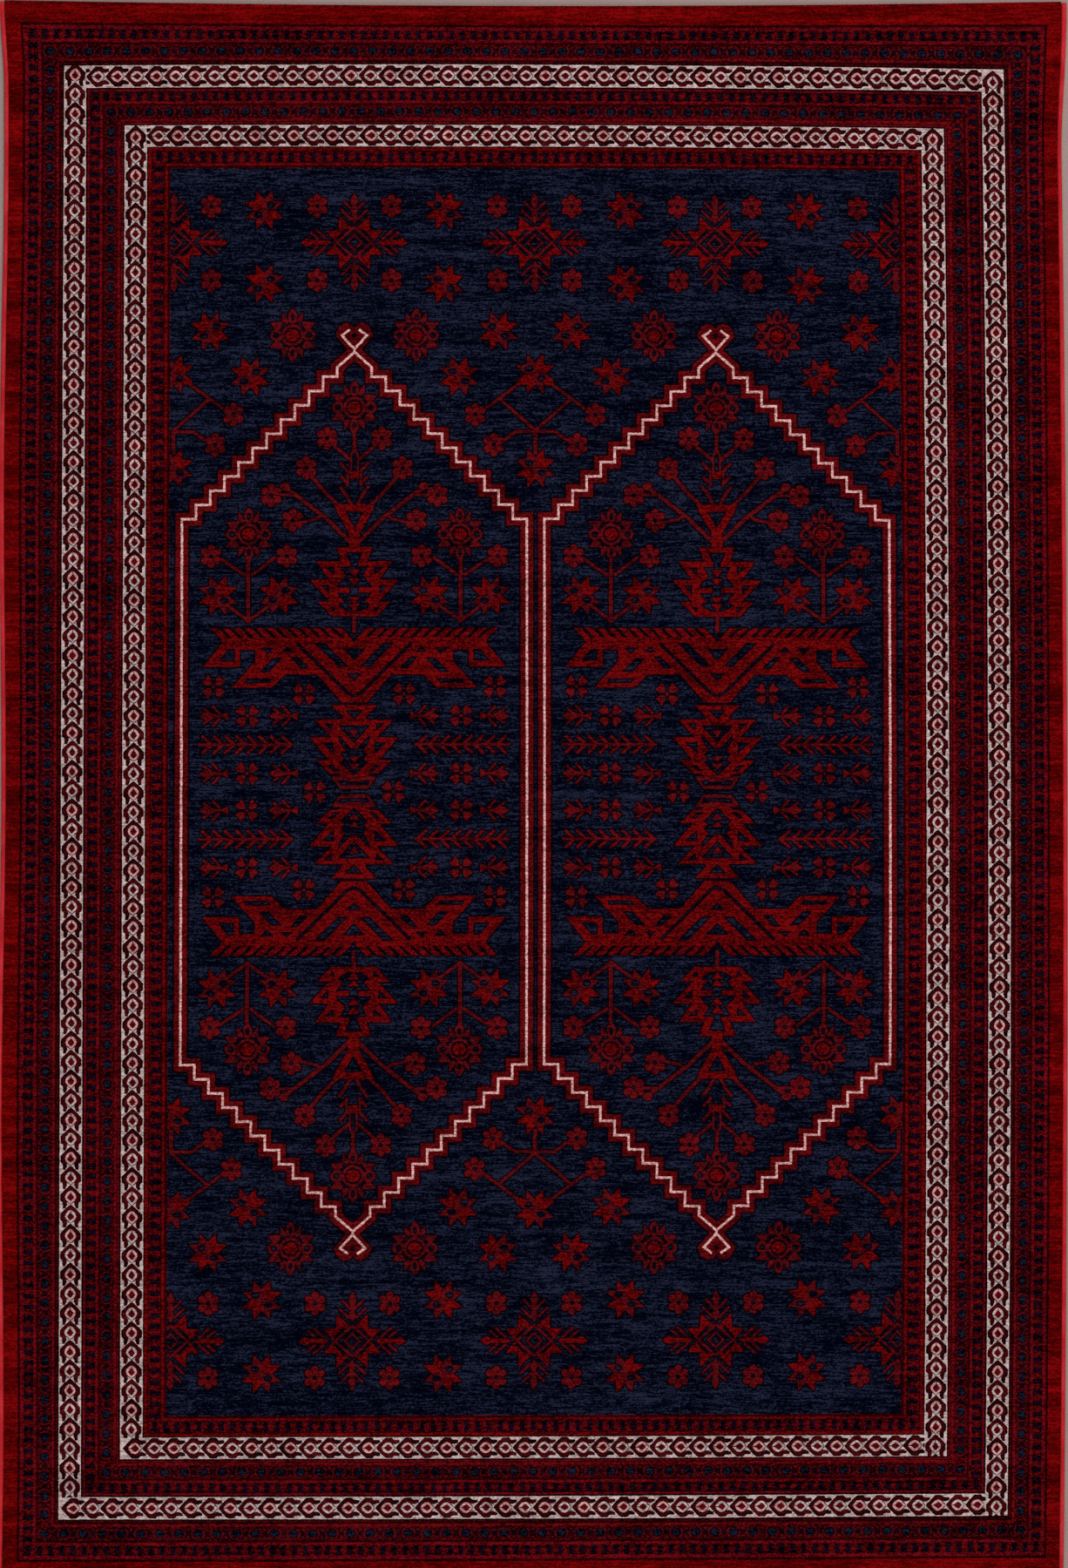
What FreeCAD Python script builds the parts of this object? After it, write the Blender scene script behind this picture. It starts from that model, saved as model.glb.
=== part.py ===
import FreeCAD, Part
import math
import os

# Area rug: power-loomed pile rug lying flat, pattern side up.
# Frame: origin at the middle of the underside, +X across, +Y along, +Z up. Units: millimetres.
# Every piece is its own solid, and neighbouring pieces meet face to face.

# ---- driving dimensions ------------------------------------------------------------------
HALF_WIDTH = 1000.0             # half of the finished width, over the side cords
HALF_LENGTH = 1480.0            # half of the finished length
COAT_THICKNESS = 0.8            # latex back-coat, and the hem tape let in beside it
FOUNDATION_THICKNESS = 1.8      # woven warps and wefts
PILE_HEIGHT = 8.4               # cut pile above the foundation

SIDE_CORD_DIAMETER = 5.0        # core cord inside each serged side
SERGING_DIAMETER = 8.0          # over the overcast yarn
SERGING_INSET = 1.0             # how far the woven edge reaches into the yarn

HEM_TAPE_WIDTH = 30.0
SEAM_WIDTH = 1.0                # sewing thread, lying in the tape
SEAM_THICKNESS = 0.5
SEAM_GROOVE_DEPTH = 0.6
SEAM_FROM_TAPE_EDGE = 6.0
SEAM_END_MARGIN = 8.0           # the seams stop this far short of the tape's ends

# Each ring of the border, from the rug's edge inward: name, then the half-width and the
# half-length of the ring's inner edge.
BORDER_RINGS = [
    ("plain_margin", 966.0, 1442.0),
    ("outer_guard", 890.0, 1362.0),
    ("outer_ivory", 848.0, 1320.0),
    ("middle_guard", 775.0, 1249.0),
    ("inner_ivory", 732.5, 1208.5),
    ("inner_guard", 688.0, 1168.0),
]

# Stepped medallion outlines, two side by side in the field
MEDALLION_CENTRE_X = 340.5      # distance of each medallion's middle from the rug's middle
MEDALLION_HALF_WIDTH = 324.0    # middle of the outline to the medallion's centre line
SHOULDER_HEIGHT = 511.0         # where the straight sides end and the steps begin
STEP_COUNT = 11                 # treads on each slope
STEP_RUN = 26.5
STEP_RISE = 26.6
NECK_HEIGHT = 18.0              # short upright above the last tread
TIP_HEIGHT = 46.0               # from the last tread to the pointed tip
OUTLINE_BAND_WIDTH = 23.0       # red band
OUTLINE_LINE_WIDTH = 4.0        # ivory line along the middle of the band
OUTLINE_DEPTH = 4.0             # how deep the coloured tufts show in the field pile

# ---- derived levels ----------------------------------------------------------------------
FOUNDATION_BOTTOM = COAT_THICKNESS
PILE_BOTTOM = FOUNDATION_BOTTOM + FOUNDATION_THICKNESS
PILE_TOP = PILE_BOTTOM + PILE_HEIGHT
SERGING_RADIUS = SERGING_DIAMETER / 2
SERGING_CENTRE_X = HALF_WIDTH - SERGING_RADIUS
WOVEN_HALF_WIDTH = HALF_WIDTH - SERGING_DIAMETER + SERGING_INSET
TAPE_INNER_Y = HALF_LENGTH - HEM_TAPE_WIDTH
OUTLINE_FLOOR = PILE_TOP - OUTLINE_DEPTH

SIDES = (("left", -1), ("right", 1))
ENDS = (("top", 1), ("bottom", -1))

UP = FreeCAD.Vector(0, 0, 1)
ALONG = FreeCAD.Vector(0, 1, 0)


def block(x_low, x_high, y_low, y_high, z_low, z_high):
    """A box between two corners, in whichever order they come."""
    corner = FreeCAD.Vector(min(x_low, x_high), min(y_low, y_high), z_low)
    return Part.makeBox(abs(x_high - x_low), abs(y_high - y_low), z_high - z_low, corner)


def write(name, shape):
    """Write one piece as its own STEP file."""
    if not shape.isValid():
        raise ValueError(name + " is not a valid shape")
    shape.exportStep(os.path.join("parts", name + ".step"))


# ---- foundation and back -----------------------------------------------------------------
def woven_foundation():
    return block(-WOVEN_HALF_WIDTH, WOVEN_HALF_WIDTH, -HALF_LENGTH, HALF_LENGTH,
                 FOUNDATION_BOTTOM, PILE_BOTTOM)


def latex_back_coat():
    return block(-WOVEN_HALF_WIDTH, WOVEN_HALF_WIDTH, -TAPE_INNER_Y, TAPE_INNER_Y,
                 0, COAT_THICKNESS)


# ---- end hems ----------------------------------------------------------------------------
def seam_rows(end, z_low, z_high):
    """Two straight rows that follow the tape's edges, between the two given heights."""
    rows = []
    half_run = WOVEN_HALF_WIDTH - SEAM_END_MARGIN
    for middle in (TAPE_INNER_Y + SEAM_FROM_TAPE_EDGE, HALF_LENGTH - SEAM_FROM_TAPE_EDGE):
        y_low = end * middle - SEAM_WIDTH / 2
        rows.append(block(-half_run, half_run, y_low, y_low + SEAM_WIDTH, z_low, z_high))
    return rows


def hem_tape(end):
    tape = block(-WOVEN_HALF_WIDTH, WOVEN_HALF_WIDTH, end * TAPE_INNER_Y, end * HALF_LENGTH,
                 0, COAT_THICKNESS)
    for groove in seam_rows(end, 0, SEAM_GROOVE_DEPTH):
        tape = tape.cut(groove)
    return tape


def hem_seam(end):
    thread_bottom = SEAM_GROOVE_DEPTH - SEAM_THICKNESS
    return Part.makeCompound(seam_rows(end, thread_bottom, SEAM_GROOVE_DEPTH))


# ---- serged sides ------------------------------------------------------------------------
def long_cylinder(side, diameter):
    start = FreeCAD.Vector(side * SERGING_CENTRE_X, -HALF_LENGTH, SERGING_RADIUS)
    return Part.makeCylinder(diameter / 2, 2 * HALF_LENGTH, start, ALONG)


def side_core_cord(side):
    return long_cylinder(side, SIDE_CORD_DIAMETER)


def side_serging(side):
    """The overcast yarn as a sleeve round its core, flat where it grips the woven edge."""
    sleeve = long_cylinder(side, SERGING_DIAMETER).cut(long_cylinder(side, SIDE_CORD_DIAMETER))
    woven_edge = block(0, side * WOVEN_HALF_WIDTH, -HALF_LENGTH, HALF_LENGTH, 0, PILE_TOP)
    return sleeve.cut(woven_edge)


# ---- pile of the border ------------------------------------------------------------------
def border_pile():
    """Four straight strips of pile for each ring: name and solid."""
    strips = []
    outer_x = WOVEN_HALF_WIDTH
    outer_y = HALF_LENGTH
    for ring, inner_x, inner_y in BORDER_RINGS:
        for end_name, end in ENDS:
            strip = block(-outer_x, outer_x, end * inner_y, end * outer_y, PILE_BOTTOM, PILE_TOP)
            strips.append(("pile_" + ring + "_" + end_name, strip))
        for side_name, side in SIDES:
            strip = block(side * inner_x, side * outer_x, -inner_y, inner_y,
                          PILE_BOTTOM, PILE_TOP)
            strips.append(("pile_" + ring + "_" + side_name, strip))
        outer_x = inner_x
        outer_y = inner_y
    return strips


# ---- pile of the medallion outlines ------------------------------------------------------
def medallion_quarter():
    """Middle of the outline from the straight side up to the tip, as (x, y) for x >= 0."""
    x = MEDALLION_HALF_WIDTH
    y = SHOULDER_HEIGHT
    points = [(x, y)]
    for step in range(STEP_COUNT):
        x -= STEP_RUN
        points.append((x, y))
        if step < STEP_COUNT - 1:
            y += STEP_RISE
            points.append((x, y))
    points.append((x, y + NECK_HEIGHT))
    points.append((0, y + TIP_HEIGHT))
    return points


def medallion_outline(side):
    """Middle of the closed outline, running clockwise, as (x, y) in the rug's frame."""
    quarter = medallion_quarter()
    lower_quarter = [(x, -y) for x, y in quarter]
    right_half = quarter[::-1] + lower_quarter
    left_half = [(-x, -y) for x, y in right_half[1:-1]]
    shift = side * MEDALLION_CENTRE_X
    return [(x + shift, y) for x, y in right_half + left_half]


def edge_normal(start, end):
    """Unit normal on the left of an edge, which is outward on a clockwise outline."""
    length = math.dist(start, end)
    return (start[1] - end[1]) / length, (end[0] - start[0]) / length


def moved_outward(outline, distance):
    """The outline moved outward by a distance, with mitred corners."""
    moved = []
    for index, point in enumerate(outline):
        before = edge_normal(outline[index - 1], point)
        after = edge_normal(point, outline[(index + 1) % len(outline)])
        mitre = distance / (1 + before[0] * after[0] + before[1] * after[1])
        x = point[0] + mitre * (before[0] + after[0])
        y = point[1] + mitre * (before[1] + after[1])
        moved.append((x, y))
    return moved


def tuft_block(outline):
    """Solid under a closed outline, as deep as the coloured tufts show."""
    corners = [FreeCAD.Vector(x, y, OUTLINE_FLOOR) for x, y in outline]
    face = Part.Face(Part.makePolygon(corners + corners[:1]))
    return face.extrude(UP * OUTLINE_DEPTH)


def ring_between(side, inner_distance, outer_distance):
    """Ring between two distances from the middle of the outline, outward positive."""
    outline = medallion_outline(side)
    outer = tuft_block(moved_outward(outline, outer_distance))
    return outer.cut(tuft_block(moved_outward(outline, inner_distance)))


def medallion_line(side):
    half_line = OUTLINE_LINE_WIDTH / 2
    return ring_between(side, -half_line, half_line)


def medallion_band(side):
    """The red tufts on both sides of the ivory line: two separate rings."""
    half_line = OUTLINE_LINE_WIDTH / 2
    half_band = OUTLINE_BAND_WIDTH / 2
    outer_ring = ring_between(side, half_line, half_band)
    inner_ring = ring_between(side, -half_band, -half_line)
    return Part.makeCompound([outer_ring, inner_ring])


# ---- pile of the field's ground ----------------------------------------------------------
def field_ground():
    """The field's ground pile, with a channel for each medallion outline."""
    innermost_ring, half_x, half_y = BORDER_RINGS[-1]
    ground = block(-half_x, half_x, -half_y, half_y, PILE_BOTTOM, PILE_TOP)
    half_band = OUTLINE_BAND_WIDTH / 2
    for side_name, side in SIDES:
        ground = ground.cut(ring_between(side, -half_band, half_band))
    return ground


def main():
    os.makedirs("parts", exist_ok=True)
    write("latex_back_coat", latex_back_coat())
    write("woven_foundation", woven_foundation())
    for end_name, end in ENDS:
        write("hem_tape_" + end_name, hem_tape(end))
        write("hem_seam_" + end_name, hem_seam(end))
    for side_name, side in SIDES:
        write("side_core_cord_" + side_name, side_core_cord(side))
        write("side_serging_" + side_name, side_serging(side))
        write("pile_medallion_band_" + side_name, medallion_band(side))
        write("pile_medallion_line_" + side_name, medallion_line(side))
    for name, strip in border_pile():
        write(name, strip)
    write("pile_field_ground", field_ground())


main()
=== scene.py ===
"""An oriental area rug, 2.00 x 2.96 m, seen from straight above on a pale floor.

Everything is laid out in millimetres on a straight plan, X across the rug and Y along it,
and one function, lie(), sets it down on the floor in metres with the gentle waviness of a
real rug. Colours of one kind are one piece, a closed layer of pile that stands a little
above the layer it is tufted into.
"""

import math

import bpy
import numpy as np
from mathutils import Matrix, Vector
from mathutils.geometry import delaunay_2d_cdt


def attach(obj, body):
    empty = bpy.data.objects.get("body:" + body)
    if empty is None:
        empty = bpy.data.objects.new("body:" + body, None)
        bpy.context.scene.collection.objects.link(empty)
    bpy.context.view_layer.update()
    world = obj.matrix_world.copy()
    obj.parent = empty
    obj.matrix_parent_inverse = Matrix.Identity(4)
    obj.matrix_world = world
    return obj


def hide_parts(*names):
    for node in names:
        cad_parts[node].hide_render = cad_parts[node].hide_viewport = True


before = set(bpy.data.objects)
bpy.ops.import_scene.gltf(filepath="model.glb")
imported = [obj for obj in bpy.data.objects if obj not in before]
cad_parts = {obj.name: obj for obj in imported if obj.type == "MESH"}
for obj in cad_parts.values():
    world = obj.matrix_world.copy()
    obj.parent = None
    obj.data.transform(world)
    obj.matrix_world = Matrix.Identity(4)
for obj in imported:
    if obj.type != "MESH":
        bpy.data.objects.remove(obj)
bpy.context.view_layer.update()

MM = 0.001

# ---- plan of the rug (mm)
HALF_WIDTH = 1000.0
HALF_LENGTH = 1480.0
WOVEN_HALF_WIDTH = 993.0
COAT_TOP = 0.8
FOUNDATION_TOP = 2.6
PILE_TOP = 11.0

# Half width and half length of the rectangle where each band of the border begins
MARGIN = (990.5, HALF_LENGTH)
OUTER_GUARD = (966.0, 1442.0)
OUTER_IVORY = (890.0, 1362.0)
MIDDLE_GUARD = (848.0, 1320.0)
INNER_IVORY = (775.0, 1249.0)
INNER_GUARD = (732.5, 1208.5)
FIELD = (688.0, 1168.0)

MEDALLION_X = 340.5        # middle of the rug to the middle of a medallion
EDGE_AXIS_X = 681.0        # the motifs on this line are cut by the edge of the field
MEDALLION_HALF_WIDTH = 324.0
SHOULDER_HEIGHT = 511.0    # where the straight sides end and the steps begin
STEP_COUNT = 11
STEP_RUN = 26.5
STEP_RISE = 26.6
NECK_HEIGHT = 18.0
TIP_HEIGHT = 46.0
OUTLINE_BAND_WIDTH = 23.5
OUTLINE_LINE_WIDTH = 4.4

# Height of each layer of pile above the ground it is tufted into
LIFT = {"line": 0.15, "low": 0.2, "mid": 0.35, "high": 0.5}
RIM_WIDTH = 0.7            # how far the edge of a border line slopes out
RIM_DEPTH = 0.9            # and how far it goes down into the ground
EDGE_WIDTH = 1.3           # the edge of painted shade round a motif, where the tufts lean apart
EDGE_DEPTH = 0.42          # and how far down that edge slopes
BROAD_EDGE = 3.8           # the same round the motifs of the field
KNOT = 2.2                 # pitch of the tufts, which makes every outline a little uneven
UNEVEN = 0.5
OUTLINE_SPACING = 3.0      # how finely the outlines of motifs are divided
PILE_GRID = 22.0           # and the ground pile
SHEET_GRID = 30.0          # and the flat sheets under it


# ---- how the rug lies
def bowed(value, half, start, middle, end):
    """A plain bow (a parabola) given by how far it stands off at its two ends and its middle."""
    t = value / half
    return middle + (end - start) / 2 * t + ((start + end) / 2 - middle) * t * t


def flare(y, start, amount):
    """How far a long edge turns out where it comes up to the top corner."""
    t = share(y, start, HALF_LENGTH)
    return amount * t * t * (3 - 2 * t)


# A rug on a floor is never quite straight: each side and each end is a shallow bow of its own
LEFT_BOW = (-3.0, 2.0, 9.0)       # at its bottom, middle and top, towards +X
RIGHT_BOW = (-3.0, 4.5, -11.0)
BOTTOM_BOW = (-5.5, -3.5, 3.0)    # at its left, middle and right, towards +Y
TOP_BOW = (-2.0, 1.0, -10.0)
TOP_EDGE_BOW = (6.0, -8.0, 11.0)  # what the outermost edge of the top end adds
EDGE_PULL = 5.0                   # the overcast edge draws the left side out by this
RIPPLE = 3.0                      # and leaves a slow ripple in it
RIPPLE_PITCH = 1180.0
RIGHT_PULL = -3.0
LEFT_FLARE = (1330.0, 7.0)        # where each side starts to turn out at the top, and by how much
RIGHT_FLARE = (1200.0, 14.0)
WAVE = (260.0, 0.45)              # pitch and height of the waves over the whole rug
SMALL_WAVE = (140.0, 0.15)


def share(value, start, end):
    """0 up to the start, 1 from the end on, and evenly between."""
    return np.clip((value - start) / (end - start), 0, 1)


def value_noise(x, y, pitch, seed):
    """Smooth random values from -1 to 1 on a square lattice."""
    gx = x / pitch
    gy = y / pitch
    ix = np.floor(gx).astype(np.int64)
    iy = np.floor(gy).astype(np.int64)
    fx = gx - ix
    fy = gy - iy
    fx = fx * fx * (3 - 2 * fx)
    fy = fy * fy * (3 - 2 * fy)

    def corner(i, j):
        h = (i * 374761393 + j * 668265263 + seed * 362437) & 0xFFFFFFFF
        h = ((h ^ (h >> 13)) * 1274126177) & 0xFFFFFFFF
        h = h ^ (h >> 16)
        return (h & 0xFFFF) / 32767.5 - 1.0

    low = corner(ix, iy) * (1 - fx) + corner(ix + 1, iy) * fx
    high = corner(ix, iy + 1) * (1 - fx) + corner(ix + 1, iy + 1) * fx
    return low * (1 - fy) + high * fy


def lie(points):
    """Sets plan points down on the floor: (x, y, z) in mm to metres."""
    p = np.asarray(points, dtype=float).reshape(-1, 3)
    x, y, z = p.T
    side = share(x, -OUTER_IVORY[0], OUTER_IVORY[0])
    end = share(y, -OUTER_IVORY[1], OUTER_IVORY[1])
    beyond = share(np.abs(x), OUTER_IVORY[0], HALF_WIDTH)
    past = share(y, OUTER_IVORY[1], HALF_LENGTH)
    dx = bowed(y, HALF_LENGTH, *LEFT_BOW) * (1 - side) + bowed(y, HALF_LENGTH, *RIGHT_BOW) * side
    left = RIPPLE * np.cos(2 * np.pi * y / RIPPLE_PITCH) - EDGE_PULL - flare(y, *LEFT_FLARE)
    right = RIGHT_PULL + flare(y, *RIGHT_FLARE)
    dx = dx + np.where(x < 0, left, right) * beyond
    dy = bowed(x, HALF_WIDTH, *BOTTOM_BOW) * (1 - end) + bowed(x, HALF_WIDTH, *TOP_BOW) * end
    dy = dy + bowed(x, HALF_WIDTH, *TOP_EDGE_BOW) * past
    wave = value_noise(x, y, WAVE[0], 5) * WAVE[1] + value_noise(x, y, SMALL_WAVE[0], 9) * SMALL_WAVE[1]
    rise = (wave + WAVE[1] + SMALL_WAVE[1]) * share(z, 0, PILE_TOP)
    return np.stack([(x + dx) * MM, (y + dy) * MM, (z + rise) * MM], 1)


def uneven(xy):
    """Moves outline points a little, as the tufts along a colour change do."""
    x, y = xy.T
    fine = np.stack([value_noise(x, y, KNOT, 21), value_noise(x, y, KNOT, 22)], 1)
    broad = np.stack([value_noise(x, y, 30.0, 23), value_noise(x, y, 30.0, 24)], 1)
    return xy + fine * UNEVEN + broad * UNEVEN * 0.6


# ---- meshes
def piece(name, verts, faces, marks, material, smooth=False):
    mesh = bpy.data.meshes.new(name)
    mesh.from_pydata([tuple(v) for v in verts], [], [tuple(int(i) for i in f) for f in faces])
    mesh.polygons.foreach_set("material_index", marks)
    mesh.validate()
    mesh.update()
    mesh.materials.append(material)
    # Faces marked 1 take the dark material, painted shade at a colour's edge
    if any(marks):
        mesh.materials.append(M["shadow"])
    mesh.polygons.foreach_set("use_smooth", [smooth] * len(mesh.polygons))
    obj = bpy.data.objects.new(name, mesh)
    bpy.context.scene.collection.objects.link(obj)
    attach(obj, "root")
    return obj


class Solid:
    """Gathers parts of one piece: plan vertices in mm and faces."""

    def __init__(self):
        self.verts = []
        self.faces = []
        self.marks = []
        self.count = 0

    def add(self, verts, faces, shaded=0):
        """The last faces, as many as shaded says, take the dark material that paints the shade at a
        colour's edge.
        """
        verts = np.asarray(verts, dtype=float)
        self.verts.append(verts)
        self.marks.extend([0] * (len(faces) - shaded) + [1] * shaded)
        self.faces.extend([tuple(i + self.count for i in f) for f in faces])
        self.count += len(verts)

    def finish(self, name, material, slot, smooth=False):
        return piece(name, lie(np.concatenate(self.verts)), self.faces, self.marks, material, smooth)


def between(outer, inner, fraction):
    return tuple(a * (1 - fraction) + b * fraction for a, b in zip(outer, inner))


def ring(solid, outer, inner, bottom, top, step, across, sloped=False):
    """A closed rectangular ring between two rectangles, mitred at its corners."""
    corners = ((1, -1), (1, 1), (-1, 1), (-1, -1))
    stations = []
    for k in range(4):
        a = corners[k]
        b = corners[(k + 1) % 4]
        length = 2 * (outer[1] if a[0] == b[0] else outer[0])
        count = max(2, int(round(length / step)))
        for i in range(count):
            t = i / count
            stations.append((a[0] * (1 - t) + b[0] * t, a[1] * (1 - t) + b[1] * t))
    s = np.array(stations)
    slope = RIM_WIDTH if sloped else 0.0
    rows = [s * np.array(between(outer, inner, i / across)) for i in range(across + 1)]
    rows.append(s * (np.array(inner) - slope))
    rows.append(s * (np.array(outer) + slope))
    heights = [top] * (across + 1) + [bottom] * 2
    if sloped:
        rows = [uneven(r) for r in rows]
    n = len(s)
    m = len(rows)
    verts = np.concatenate([np.column_stack([r, np.full(n, h)]) for r, h in zip(rows, heights)])
    faces = []
    for j in range(m):
        k = (j + 1) % m
        for i in range(n):
            i2 = (i + 1) % n
            faces.append((j * n + i, j * n + i2, k * n + i2, k * n + i))
    solid.add(verts, faces)


def slab(solid, x0, x1, y0, y1, bottom, top, step):
    """A closed rectangular slab with a grid on its top and its underside."""
    nx = max(1, int(round((x1 - x0) / step)))
    ny = max(1, int(round((y1 - y0) / step)))
    xs = np.linspace(x0, x1, nx + 1)
    ys = np.linspace(y0, y1, ny + 1)
    gx, gy = np.meshgrid(xs, ys)
    flat = np.column_stack([gx.ravel(), gy.ravel()])
    n = len(flat)
    verts = np.concatenate([np.column_stack([flat, np.full(n, top)]),
                            np.column_stack([flat, np.full(n, bottom)])])
    w = nx + 1
    faces = []
    for j in range(ny):
        for i in range(nx):
            a = j * w + i
            faces.append((a, a + 1, a + w + 1, a + w))
            faces.append((n + a + w, n + a + w + 1, n + a + 1, n + a))
    edge = list(range(nx))
    edge += [j * w + nx for j in range(ny)]
    edge += [ny * w + i for i in range(nx, 0, -1)]
    edge += [j * w for j in range(ny, 0, -1)]
    for k, a in enumerate(edge):
        b = edge[(k + 1) % len(edge)]
        faces.append((a, n + a, n + b, b))
    solid.add(verts, faces)


# ---- drawn motifs
# A drawing is a list of (tone, outline) in painter's order. The tone "gap" lets the ground show.
def placed(shapes, at=(0.0, 0.0), flip=(1, 1)):
    return [(tone, [(at[0] + x * flip[0], at[1] + y * flip[1]) for x, y in pts]) for tone, pts in shapes]


def mirrored(shapes):
    return shapes + placed(shapes, flip=(-1, 1))


def fourfold(shapes):
    half = mirrored(shapes)
    return half + placed(half, flip=(1, -1))


def disc(centre, rx, ry=None, count=14):
    ry = rx if ry is None else ry
    turn = 2 * math.pi / count
    return [(centre[0] + rx * math.cos(i * turn), centre[1] + ry * math.sin(i * turn))
            for i in range(count)]


def stroke(points, width):
    """The outline of a line of even width, mitred at its corners."""
    left = []
    right = []
    n = len(points)
    for i, p in enumerate(points):
        back = points[max(i - 1, 0)]
        ahead = points[min(i + 1, n - 1)]
        d1 = Vector((p[0] - back[0], p[1] - back[1]))
        d2 = Vector((ahead[0] - p[0], ahead[1] - p[1]))
        d1 = d1.normalized() if d1.length else d2.normalized()
        d2 = d2.normalized() if d2.length else d1
        n1 = Vector((-d1.y, d1.x))
        n2 = Vector((-d2.y, d2.x))
        m = (n1 + n2).normalized()
        reach = width / 2 / max(m.dot(n1), 0.5)
        left.append((p[0] + m.x * reach, p[1] + m.y * reach))
        right.append((p[0] - m.x * reach, p[1] - m.y * reach))
    return left + right[::-1]


def line(tone, width, *points):
    return (tone, stroke(points, width))


def refined(points):
    """The outline with its long edges divided."""
    out = []
    n = len(points)
    for i in range(n):
        a = points[i]
        b = points[(i + 1) % n]
        count = max(1, int(math.dist(a, b) / OUTLINE_SPACING + 0.5))
        for k in range(count):
            t = k / count
            out.append((a[0] * (1 - t) + b[0] * t, a[1] * (1 - t) + b[1] * t))
    return out


def wound_round(outline, points):
    """Which of the points an outline winds round."""
    x = points[:, 0][:, None]
    y = points[:, 1][:, None]
    a = outline
    b = np.roll(outline, -1, axis=0)
    left = (b[:, 0] - a[:, 0]) * (y - a[:, 1]) - (x - a[:, 0]) * (b[:, 1] - a[:, 1])
    rising = (a[:, 1] <= y) & (b[:, 1] > y) & (left > 0)
    falling = (a[:, 1] > y) & (b[:, 1] <= y) & (left < 0)
    return rising.sum(1) != falling.sum(1)


def painted(shapes, inside=None):
    """Triangulates a drawing; gives {tone: (points, triangles)} with no overlaps."""
    coords = []
    edges = []
    outlines = [pts for _, pts in shapes]
    if inside:
        w, h = inside
        outlines.append([(-w, -h), (w, -h), (w, h), (-w, h)])
    for outline in outlines:
        pts = refined(outline)
        start = len(coords)
        count = len(pts)
        coords.extend(Vector(p) for p in pts)
        edges.extend((start + i, start + (i + 1) % count) for i in range(count))
    verts, _, faces, _, _, _ = delaunay_2d_cdt(coords, edges, [], 0, 1e-3, False)
    points = np.array([(v.x, v.y) for v in verts])
    tris = np.array([f for f in faces if len(f) == 3])
    middles = points[tris].mean(1)
    owner = np.full(len(tris), -1)
    by_x = np.argsort(middles[:, 0], kind="stable")
    sorted_x = middles[by_x, 0]
    for k, (_, pts) in enumerate(shapes):
        outline = np.array(pts)
        low = outline.min(0)
        high = outline.max(0)
        near = by_x[np.searchsorted(sorted_x, low[0]):np.searchsorted(sorted_x, high[0])]
        near = near[(middles[near, 1] > low[1]) & (middles[near, 1] < high[1])]
        owner[near[wound_round(outline, middles[near])]] = k
    if inside:
        owner[(np.abs(middles[:, 0]) > inside[0]) | (np.abs(middles[:, 1]) > inside[1])] = -1
    tones = np.array([tone for tone, _ in shapes] + ["gap"])
    tri_tones = tones[owner]
    return {str(tone): (points, tris[tri_tones == tone]) for tone in dict.fromkeys(tones.tolist())
            if tone != "gap" and (tri_tones == tone).any()}


def relief(solid, points, tris, top, rim):
    """Closed pile layer over a triangulated shape: top, sloping rim and underside."""
    a, b, c = (points[tris[:, i]] for i in range(3))
    area = (b[:, 0] - a[:, 0]) * (c[:, 1] - a[:, 1]) - (b[:, 1] - a[:, 1]) * (c[:, 0] - a[:, 0])
    tris = np.where((area < 0)[:, None], tris[:, ::-1], tris)
    tris = tris[np.abs(area) > 1e-6]
    corner = np.arange(tris.size)
    following = corner // 3 * 3 + (corner + 1) % 3
    start = tris.ravel()
    finish = start[following]
    key = np.minimum(start, finish).astype(np.int64) * (len(points) + 1) + np.maximum(start, finish)
    order = np.argsort(key, kind="stable")
    same = key[order][1:] == key[order][:-1]
    first = order[:-1][same]
    second = order[1:][same]
    # Corners of neighbouring triangles are one vertex only where they share an edge
    one = np.concatenate([first, following[first]])
    other = np.concatenate([following[second], second])
    label = corner.copy()
    while True:
        least = np.minimum(label[one], label[other])
        before = label.copy()
        np.minimum.at(label, one, least)
        np.minimum.at(label, other, least)
        if (label == before).all():
            break
    kept, index = np.unique(label, return_inverse=True)
    xy = uneven(points[start[kept]])
    # The rim follows the edges that no two triangles share
    bare = np.ones(tris.size, dtype=bool)
    bare[first] = False
    bare[second] = False
    open_from = index[bare]
    open_to = index[following[bare]]
    along = xy[open_to] - xy[open_from]
    along = along / np.maximum(np.linalg.norm(along, axis=1), 1e-9)[:, None]
    outward = np.column_stack([along[:, 1], -along[:, 0]])
    push = np.zeros_like(xy)
    np.add.at(push, open_from, outward)
    np.add.at(push, open_to, outward)
    size = np.linalg.norm(push, axis=1)
    push = np.where(size[:, None] > 0.3, push / np.maximum(size, 0.3)[:, None], 0.0) * rim
    n = len(xy)
    verts = np.concatenate([np.column_stack([xy, np.full(n, top)]),
                            np.column_stack([xy + push, np.full(n, top - EDGE_DEPTH)])])
    corners = index.reshape(-1, 3)
    faces = [tuple(t) for t in corners.tolist()]
    faces += [(t[2] + n, t[1] + n, t[0] + n) for t in corners.tolist()]
    # The sloping rim takes the dark material: painted shade where the tufts lean apart
    rims = [(i, i + n, j + n, j) for i, j in zip(open_from.tolist(), open_to.tolist())]
    solid.add(verts, faces + rims, len(rims))


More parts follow.
